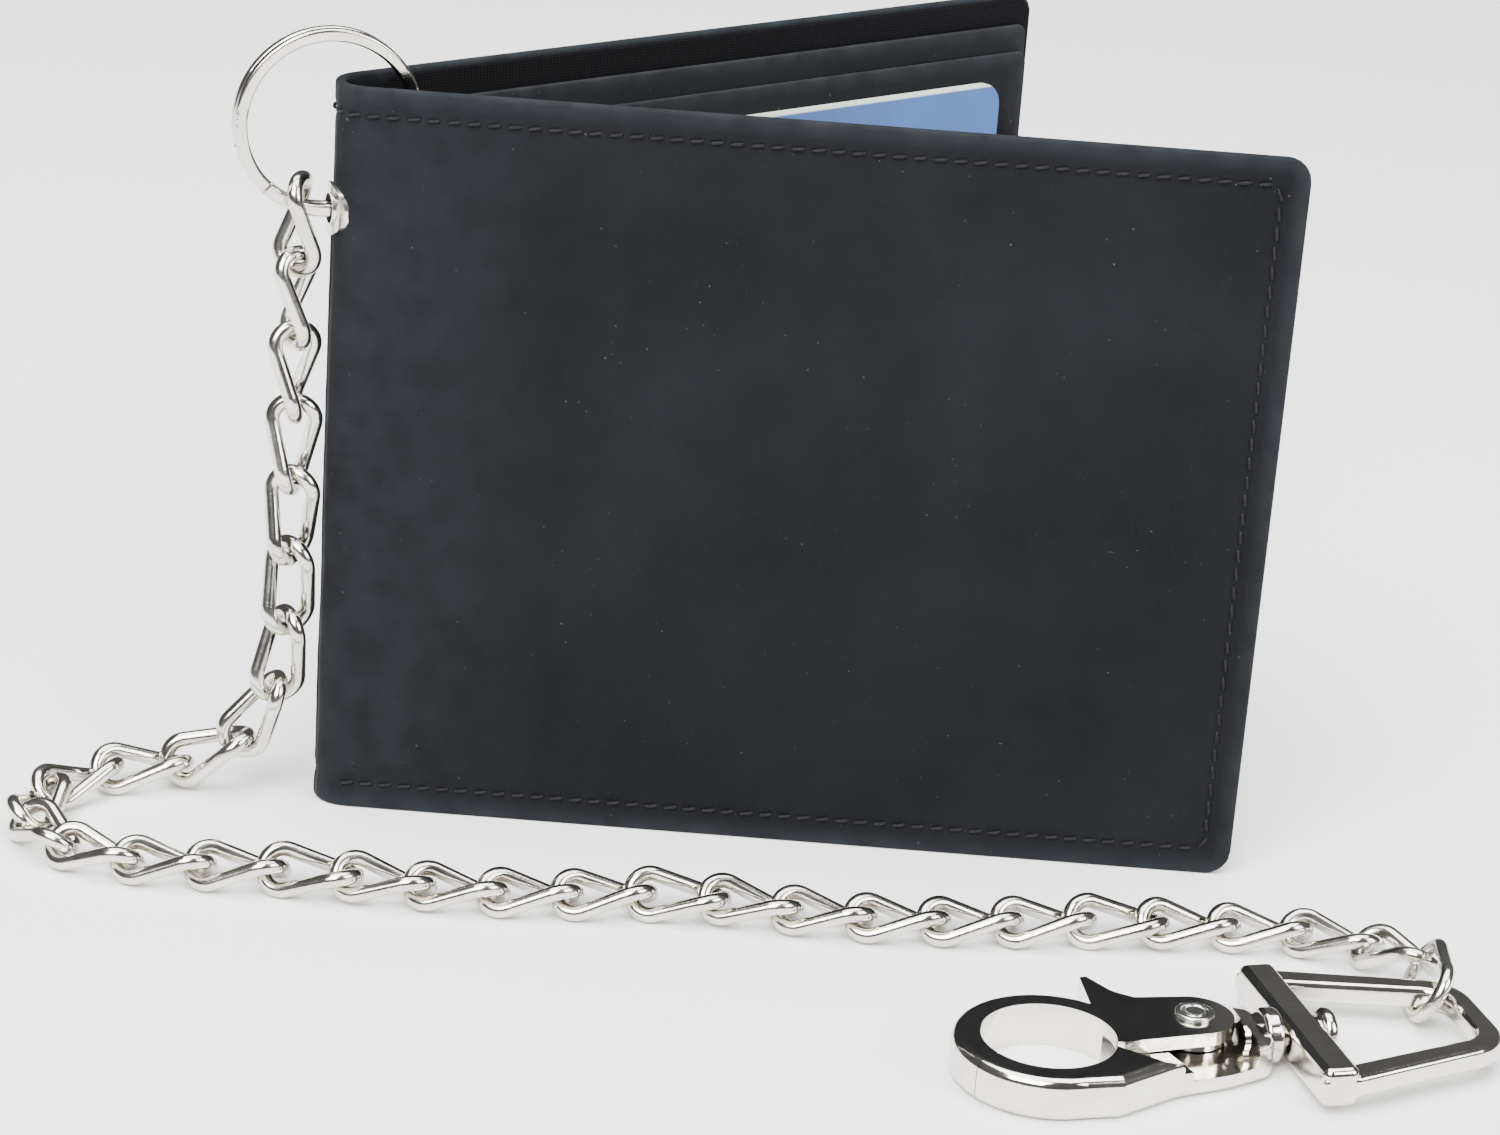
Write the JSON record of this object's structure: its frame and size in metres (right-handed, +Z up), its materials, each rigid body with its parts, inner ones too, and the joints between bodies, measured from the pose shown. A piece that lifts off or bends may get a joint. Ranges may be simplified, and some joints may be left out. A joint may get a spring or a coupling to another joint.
{
  "type": "chain wallet",
  "caption": "Leather bifold wallet standing open in a V, with a twisted curb chain from a split ring in its spine to a swivel trigger snap",
  "frame": {"origin": "on the resting plane, at the middle of the front half's bottom edge", "axes": "+X along the front half from its crease to its free edge, +Y from the front half to the back half, +Z up"},
  "size_m": [0.1713, 0.1448, 0.0951],
  "materials": {
    "cover_leather": "matte nubuck-like grain, worn edges",
    "pocket_leather": "matte, fine grain",
    "lining_cloth": "matte woven lining",
    "card_plastic": "blue printed card with a pale edge",
    "nickel": "bright nickel plate",
    "rivet_steel": "plain steel",
    "spring_steel": "drawn spring wire"
  },
  "bodies": {
    "spine": {"spine_cover": "cover_leather", "spine_lining": "lining_cloth", "eyelet": "nickel", "eyelet_washer": "nickel"},
    "front_half": {"front_cover": "cover_leather", "front_lining": "lining_cloth", "front_divider": "pocket_leather", "front_pocket_upper": "pocket_leather", "front_pocket_middle": "pocket_leather", "front_pocket_lower": "pocket_leather"},
    "back_half": {"back_cover": "cover_leather", "back_lining": "lining_cloth", "back_divider": "pocket_leather", "back_pocket_upper": "pocket_leather", "back_pocket_middle": "pocket_leather", "back_pocket_lower": "pocket_leather"},
    "card": {"card": "card_plastic"},
    "split_ring": {"split_ring": "nickel"},
    "link_01": {"link_01": "nickel"},
    "link_02": {"link_02": "nickel"},
    "link_03": {"link_03": "nickel"},
    "link_04": {"link_04": "nickel"},
    "link_05": {"link_05": "nickel"},
    "link_06": {"link_06": "nickel"},
    "link_07": {"link_07": "nickel"},
    "link_08": {"link_08": "nickel"},
    "link_09": {"link_09": "nickel"},
    "link_10": {"link_10": "nickel"},
    "link_11": {"link_11": "nickel"},
    "link_12": {"link_12": "nickel"},
    "link_13": {"link_13": "nickel"},
    "link_14": {"link_14": "nickel"},
    "link_15": {"link_15": "nickel"},
    "link_16": {"link_16": "nickel"},
    "link_17": {"link_17": "nickel"},
    "link_18": {"link_18": "nickel"},
    "link_19": {"link_19": "nickel"},
    "link_20": {"link_20": "nickel"},
    "link_21": {"link_21": "nickel"},
    "link_22": {"link_22": "nickel"},
    "link_23": {"link_23": "nickel"},
    "link_24": {"link_24": "nickel"},
    "link_25": {"link_25": "nickel"},
    "link_26": {"link_26": "nickel"},
    "link_27": {"link_27": "nickel"},
    "link_28": {"link_28": "nickel"},
    "link_29": {"link_29": "nickel"},
    "link_30": {"link_30": "nickel"},
    "link_31": {"link_31": "nickel"},
    "link_32": {"link_32": "nickel"},
    "end_link": {"end_link": "nickel"},
    "swivel_eye": {"swivel_eye": "nickel"},
    "hook": {"hook_body": "nickel", "trigger_rivet": "rivet_steel", "trigger_spring": "spring_steel"},
    "trigger": {"hook_trigger": "nickel"}
  },
  "joints": [
    {"name": "front_fold", "type": "hinge", "parent": "spine", "child": "front_half", "pos_m": [-0.0535, 0, 0], "axis": [0, 0, 1], "range_deg": [-6, 19]},
    {"name": "back_fold", "type": "hinge", "parent": "spine", "child": "back_half", "pos_m": [-0.05601, 0.00654, 0], "axis": [0, 0, 1], "range_deg": [-19, 95]},
    {"name": "card_slide", "type": "slide", "parent": "back_half", "child": "card", "axis": [0, 0, 1], "range_m": [0, 0.05]},
    {"name": "ring_turn", "type": "hinge", "parent": "spine", "child": "split_ring", "pos_m": [-0.05826, 0.00192, 0.0841], "axis": [-0.3584, 0.9336, 0], "continuous": true},
    {"name": "eye_swing", "type": "hinge", "parent": "end_link", "child": "swivel_eye", "pos_m": [0.0731, -0.03775, 0.004], "axis": [0, 0, 1], "range_deg": [-3, 3]},
    {"name": "hook_swivel", "type": "hinge", "parent": "swivel_eye", "child": "hook", "pos_m": [0.05514, -0.04807, 0.0033], "axis": [0.9563, 0.2924, 0], "continuous": true},
    {"name": "gate_pivot", "type": "hinge", "parent": "hook", "child": "trigger", "pos_m": [0.04577, -0.04822, 0.00005], "axis": [0, 0, -1], "range_deg": [0, 16], "stiffness_Nm_per_rad": 0.004},
    {"name": "end_link_bend", "type": "hinge", "parent": "link_32", "child": "end_link", "pos_m": [0.07315, -0.02835, 0.00392], "axis": [0, 0.0085, 1], "range_deg": [0, 6]},
    {"name": "link_01_bend", "type": "hinge", "parent": "spine", "child": "link_01", "pos_m": [-0.0611, 0.00085, 0.0765], "axis": [-0.936, -0.3514, 0.0205], "range_deg": [-3, 3]},
    {"name": "link_02_bend", "type": "hinge", "parent": "link_01", "child": "link_02", "pos_m": [-0.06129, 0.00085, 0.0676], "axis": [0.9326, 0.3609, 0.0064], "range_deg": [-3, 3]},
    {"name": "link_03_bend", "type": "hinge", "parent": "link_02", "child": "link_03", "pos_m": [-0.06123, 0.00085, 0.0587], "axis": [-0.9316, -0.3632, -0.0143], "range_deg": [-3, 3]},
    {"name": "link_04_bend", "type": "hinge", "parent": "link_03", "child": "link_04", "pos_m": [-0.0611, 0.00085, 0.0498], "axis": [0.9331, 0.3596, 0.0069], "range_deg": [-3, 3]},
    {"name": "link_05_bend", "type": "hinge", "parent": "link_04", "child": "link_05", "pos_m": [-0.06104, 0.00086, 0.0409], "axis": [-0.9339, -0.3574, 0.0023], "range_deg": [-3, 3]},
    {"name": "link_06_bend", "type": "hinge", "parent": "link_05", "child": "link_06", "pos_m": [-0.06106, 0.00086, 0.032], "axis": [0.9342, 0.3565, -0.0134], "range_deg": [-3, 3]},
    {"name": "link_07_bend", "type": "hinge", "parent": "link_06", "child": "link_07", "pos_m": [-0.06118, 0.00084, 0.0231], "axis": [-0.9403, -0.3138, 0.1318], "range_deg": [-3, 3]},
    {"name": "link_08_bend", "type": "hinge", "parent": "link_07", "child": "link_08", "pos_m": [-0.06243, 0.0009, 0.01429], "axis": [0.85, 0.2024, -0.4863], "range_deg": [-3, 3]},
    {"name": "link_09_bend", "type": "hinge", "parent": "link_08", "child": "link_09", "pos_m": [-0.06669, 0.00125, 0.00699], "axis": [-0.4567, -0.0241, 0.8893], "range_deg": [-3, 3]},
    {"name": "link_10_bend", "type": "hinge", "parent": "link_09", "child": "link_10", "pos_m": [-0.07418, 0.00162, 0.00316], "axis": [0.0527, 0.0163, -0.9985], "range_deg": [0, 4]},
    {"name": "link_11_bend", "type": "hinge", "parent": "link_10", "child": "link_11", "pos_m": [-0.08223, -0.00088, 0.00269], "axis": [-0.0275, -0.0293, 0.9992], "range_deg": [-4, 0]},
    {"name": "link_12_bend", "type": "hinge", "parent": "link_11", "child": "link_12", "pos_m": [-0.08801, -0.00705, 0.00235], "axis": [0, 0.0004, -1], "range_deg": [0, 4]},
    {"name": "link_13_bend", "type": "hinge", "parent": "link_12", "child": "link_13", "pos_m": [-0.08863, -0.01549, 0.00235], "axis": [-0.0001, 0.0001, 1], "range_deg": [-6, 0]},
    {"name": "link_14_bend", "type": "hinge", "parent": "link_13", "child": "link_14", "pos_m": [-0.0833, -0.02206, 0.00235], "axis": [0, 0, -1], "range_deg": [0, 6]},
    {"name": "link_15_bend", "type": "hinge", "parent": "link_14", "child": "link_15", "pos_m": [-0.07525, -0.02466, 0.00235], "axis": [-0.0145, 0.0005, 0.9999], "range_deg": [-6, 2]},
    {"name": "link_16_bend", "type": "hinge", "parent": "link_15", "child": "link_16", "pos_m": [-0.0668, -0.02494, 0.00247], "axis": [0.0434, -0.0011, -0.9991], "range_deg": [-2, 6]},
    {"name": "link_17_bend", "type": "hinge", "parent": "link_16", "child": "link_17", "pos_m": [-0.05834, -0.02515, 0.00284], "axis": [0, 0, 1], "range_deg": [-6, 2]},
    {"name": "link_18_bend", "type": "hinge", "parent": "link_17", "child": "link_18", "pos_m": [-0.04988, -0.0254, 0.00284], "axis": [-0.0463, 0.0016, -0.9989], "range_deg": [-2, 6]},
    {"name": "link_19_bend", "type": "hinge", "parent": "link_18", "child": "link_19", "pos_m": [-0.04143, -0.0257, 0.00245], "axis": [0.0116, -0.0002, 0.9999], "range_deg": [-6, 2]},
    {"name": "link_20_bend", "type": "hinge", "parent": "link_19", "child": "link_20", "pos_m": [-0.03297, -0.02581, 0.00235], "axis": [0.0144, 0.001, -0.9999], "range_deg": [-2, 6]},
    {"name": "link_21_bend", "type": "hinge", "parent": "link_20", "child": "link_21", "pos_m": [-0.02453, -0.02525, 0.00247], "axis": [-0.0431, -0.0054, 0.9991], "range_deg": [-6, 2]},
    {"name": "link_22_bend", "type": "hinge", "parent": "link_21", "child": "link_22", "pos_m": [-0.01613, -0.02419, 0.00284], "axis": [0, 0, -1], "range_deg": [-2, 6]},
    {"name": "link_23_bend", "type": "hinge", "parent": "link_22", "child": "link_23", "pos_m": [-0.00768, -0.02377, 0.00284], "axis": [0.0461, -0.0036, 0.9989], "range_deg": [-6, 2]},
    {"name": "link_24_bend", "type": "hinge", "parent": "link_23", "child": "link_24", "pos_m": [0.00075, -0.02443, 0.00245], "axis": [-0.0116, 0.0006, -0.9999], "range_deg": [-2, 6]},
    {"name": "link_25_bend", "type": "hinge", "parent": "link_24", "child": "link_25", "pos_m": [0.0092, -0.02489, 0.00235], "axis": [0, 0, 1], "range_deg": [-6, 2]},
    {"name": "link_26_bend", "type": "hinge", "parent": "link_25", "child": "link_26", "pos_m": [0.01764, -0.02441, 0.00235], "axis": [0.0144, 0.0017, -0.9999], "range_deg": [-2, 6]},
    {"name": "link_27_bend", "type": "hinge", "parent": "link_26", "child": "link_27", "pos_m": [0.02604, -0.02341, 0.00247], "axis": [-0.0431, -0.0055, 0.9991], "range_deg": [-6, 2]},
    {"name": "link_28_bend", "type": "hinge", "parent": "link_27", "child": "link_28", "pos_m": [0.03444, -0.02234, 0.00284], "axis": [0, 0, -1], "range_deg": [-2, 6]},
    {"name": "link_29_bend", "type": "hinge", "parent": "link_28", "child": "link_29", "pos_m": [0.04283, -0.02124, 0.00284], "axis": [0.0459, 0.0062, 0.9989], "range_deg": [-6, 2]},
    {"name": "link_30_bend", "type": "hinge", "parent": "link_29", "child": "link_30", "pos_m": [0.05121, -0.0201, 0.00245], "axis": [-0.011, -0.0006, -0.9999], "range_deg": [-2, 6]},
    {"name": "link_31_bend", "type": "hinge", "parent": "link_30", "child": "link_31", "pos_m": [0.05965, -0.01962, 0.00236], "axis": [-0.0143, 0.0041, 0.9999], "range_deg": [0, 6]},
    {"name": "link_32_bend", "type": "hinge", "parent": "link_31", "child": "link_32", "pos_m": [0.06778, -0.02198, 0.00248], "axis": [0.1096, -0.13, -0.9854], "range_deg": [-6, 0]}
  ]
}
